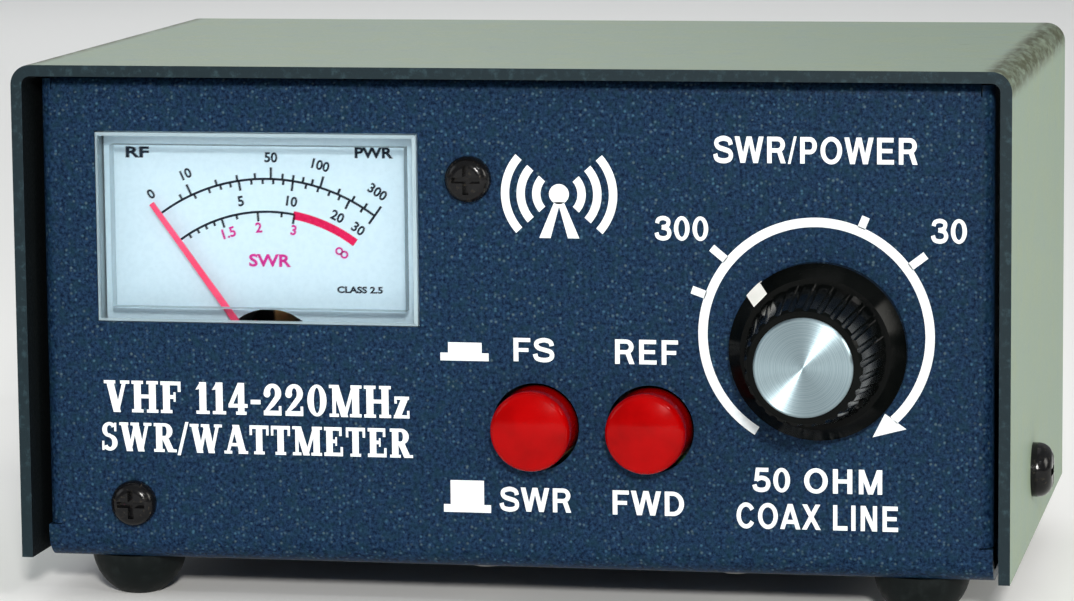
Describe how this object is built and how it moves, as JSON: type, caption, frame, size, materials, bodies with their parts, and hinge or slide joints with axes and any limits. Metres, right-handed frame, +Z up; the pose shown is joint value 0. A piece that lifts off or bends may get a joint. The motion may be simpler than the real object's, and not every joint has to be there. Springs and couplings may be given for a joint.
{
  "type": "swr meter",
  "caption": "Small steel case with a moving-coil meter and knob on the front, push buttons between them, rubber feet, and coaxial sockets on the rear.",
  "frame": {"origin": "under the middle of the whole object's box, on the surface that its feet stand on", "axes": "+X to the right seen from the front, +Y from the front panel to the rear, +Z up"},
  "size_m": [0.119, 0.0958, 0.0628],
  "materials": {
    "panel_paint": "dark blue metallic speckle, satin",
    "cover_paint": "khaki grey enamel, satin",
    "black_screw": "black oxide, semi gloss",
    "foot_rubber": "matt",
    "clear_plastic": "clear moulded, glossy",
    "meter_moulding": "black moulding",
    "dial_plate": "white printed plate, matt",
    "soft_iron": "plated soft iron",
    "magnet_alloy": "ground alloy",
    "brass": "machined",
    "copper_coil": "enamelled copper winding",
    "needle_red": "painted blade, satin",
    "spring_bronze": "spring strip",
    "knob_plastic": "black moulding, gloss",
    "spun_aluminium": "spun face",
    "white_plastic": "white moulding",
    "red_plastic": "red moulding, gloss",
    "zinc_steel": "zinc plated",
    "nickel": "nickel plated",
    "contact_silver": "silver plated brass",
    "ptfe": "white insulator",
    "phenolic": "brown phenolic",
    "board_laminate": "green laminate with copper and solder",
    "copper": "copper, tinned",
    "diode_glass": "glass body with tinned leads",
    "resistor_body": "lacquered body with colour bands",
    "capacitor_body": "dipped ceramic disc",
    "wire_insulation": "coloured insulation",
    "switch_housing": "black switch body"
  },
  "bodies": {
    "case": {"chassis": "panel_paint", "cover": "cover_paint", "cover_screws": "black_screw", "rubber_feet": "foot_rubber", "meter_window": "clear_plastic", "meter_case": "meter_moulding", "meter_dial": "dial_plate", "dial_screws": "zinc_steel", "meter_yoke": "soft_iron", "meter_core_magnet": "magnet_alloy", "core_support": "brass", "bearing_bridges": "zinc_steel", "jewel_screws": "brass", "meter_terminals": "brass", "terminal_nuts": "brass", "meter_screws": "black_screw", "meter_standoffs": "zinc_steel", "meter_clamp": "zinc_steel", "clamp_screws": "zinc_steel", "pot_bushing": "zinc_steel", "pot_washer": "zinc_steel", "pot_nut": "zinc_steel", "pot_wafer": "phenolic", "pot_case": "zinc_steel", "pot_terminals": "contact_silver", "left_switch_spring": "zinc_steel", "right_switch_spring": "zinc_steel", "left_switch_case": "switch_housing", "right_switch_case": "switch_housing", "switch_pins": "contact_silver", "switch_board": "board_laminate", "board_standoffs": "zinc_steel", "board_screws": "zinc_steel", "coupler_board": "board_laminate", "coupler_line": "copper", "pickup_lines": "copper", "detector_diodes": "diode_glass", "load_resistors": "resistor_body", "bypass_capacitors": "capacitor_body", "socket_insulators": "ptfe", "socket_contacts": "contact_silver", "socket_fixing_screws": "zinc_steel", "socket_fixing_nuts": "zinc_steel", "transmitter_socket": "nickel", "antenna_socket": "nickel", "hookup_wires": "wire_insulation"},
    "knob": {"knob_body": "knob_plastic", "knob_insert": "spun_aluminium", "knob_pointer": "white_plastic", "knob_set_screw": "zinc_steel", "pot_shaft": "zinc_steel", "pot_wiper": "phenolic"},
    "left_button": {"left_button_cap": "red_plastic", "left_switch_plunger": "white_plastic"},
    "right_button": {"right_button_cap": "red_plastic", "right_switch_plunger": "white_plastic"},
    "needle": {"meter_needle": "needle_red", "moving_coil": "copper_coil", "coil_pivots": "zinc_steel", "hairsprings": "spring_bronze"}
  },
  "joints": [
    {"name": "knob_turn", "type": "hinge", "parent": "case", "child": "knob", "pos_m": [0.0355, -0.0386, 0.0313], "axis": [0, -1, 0], "range_deg": [-196, 102]},
    {"name": "left_button_push", "type": "slide", "parent": "case", "child": "left_button", "axis": [0, 1, 0], "range_m": [0, 0.0035], "stiffness_N_per_m": 300, "springref_m": -0.003, "deforming": ["left_switch_spring"]},
    {"name": "right_button_push", "type": "slide", "parent": "case", "child": "right_button", "axis": [0, 1, 0], "range_m": [0, 0.0035], "stiffness_N_per_m": 300, "springref_m": -0.003, "deforming": ["right_switch_spring"]},
    {"name": "needle_swing", "type": "hinge", "parent": "case", "child": "needle", "pos_m": [-0.029, -0.0256, 0.0278], "axis": [0, -1, 0], "range_deg": [-76, 2], "stiffness_Nm_per_rad": 0.00005}
  ]
}
